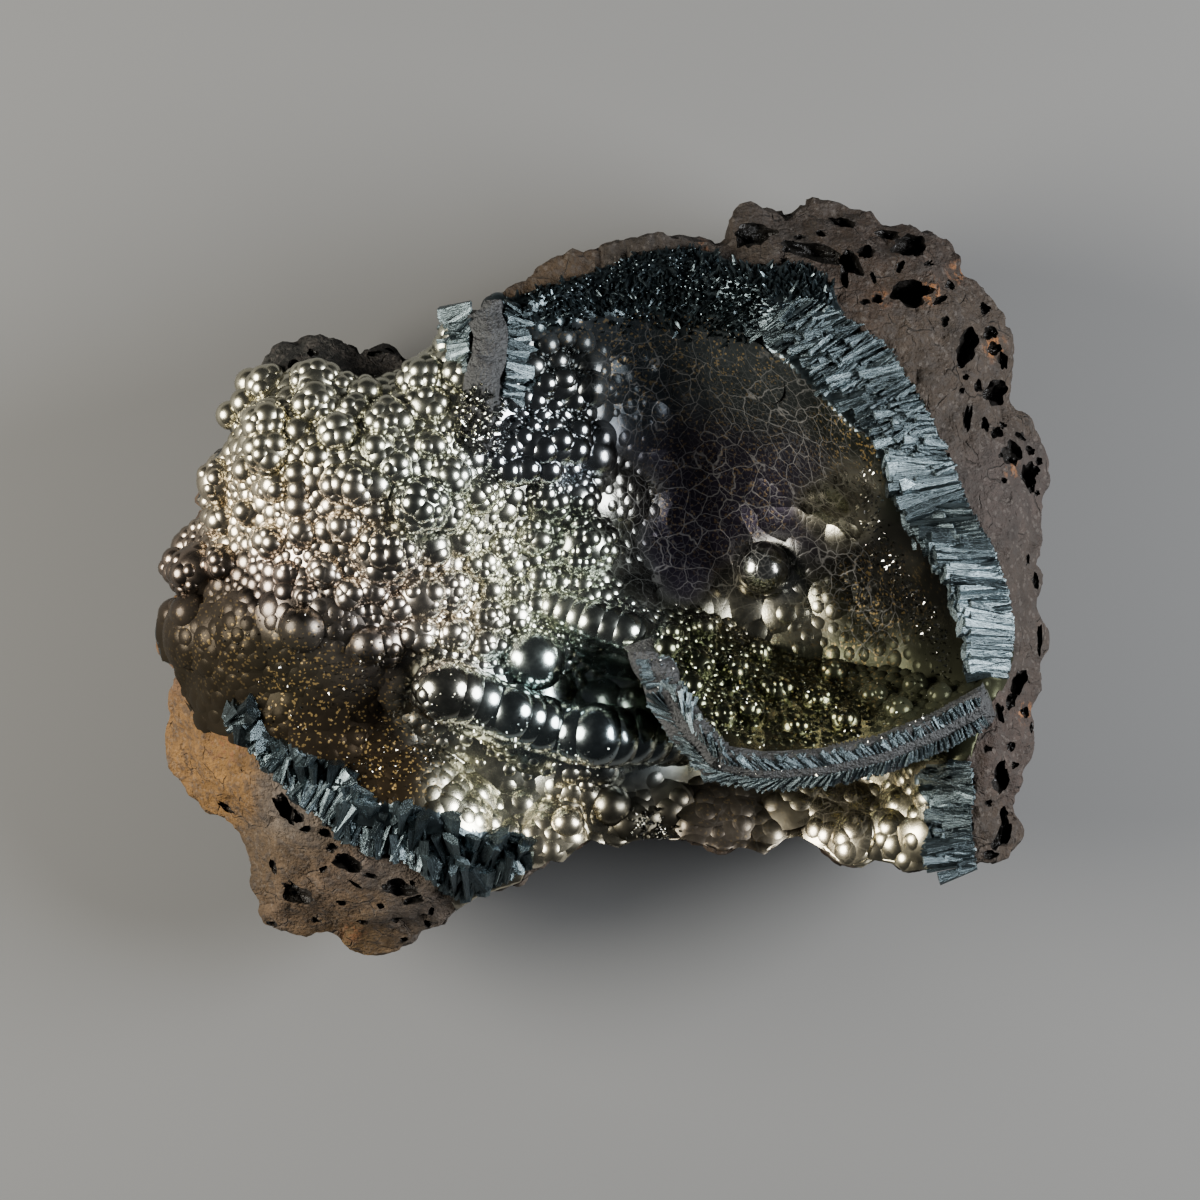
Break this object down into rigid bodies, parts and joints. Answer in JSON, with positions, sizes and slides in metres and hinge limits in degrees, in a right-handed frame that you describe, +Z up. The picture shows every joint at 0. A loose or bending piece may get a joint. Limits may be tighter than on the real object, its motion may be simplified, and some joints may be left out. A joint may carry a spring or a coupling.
{
  "type": "goethite specimen",
  "caption": "Broken slab of grape-like black goethite crust on porous brown limonite, with a deep lined hollow and a standing ledge, lying on its back.",
  "frame": {"origin": "middle of the rock's footprint, in the plane that it rests on", "axes": "+Z up, out of the crusted face; +X along the rock's length, towards the wall of the deep hollow; +Y across it, towards the hollow's rough upper rim"},
  "size_m": [0.1214, 0.1028, 0.0492],
  "materials": {
    "limonite_matrix": "matte, porous brown iron ore, ochre in places",
    "goethite_crust": "near-black with a metallic lustre, satin blue-grey where it is broken"
  },
  "bodies": {
    "root": {"limonite_matrix": "limonite_matrix", "goethite_crust": "goethite_crust"}
  },
  "joints": []
}
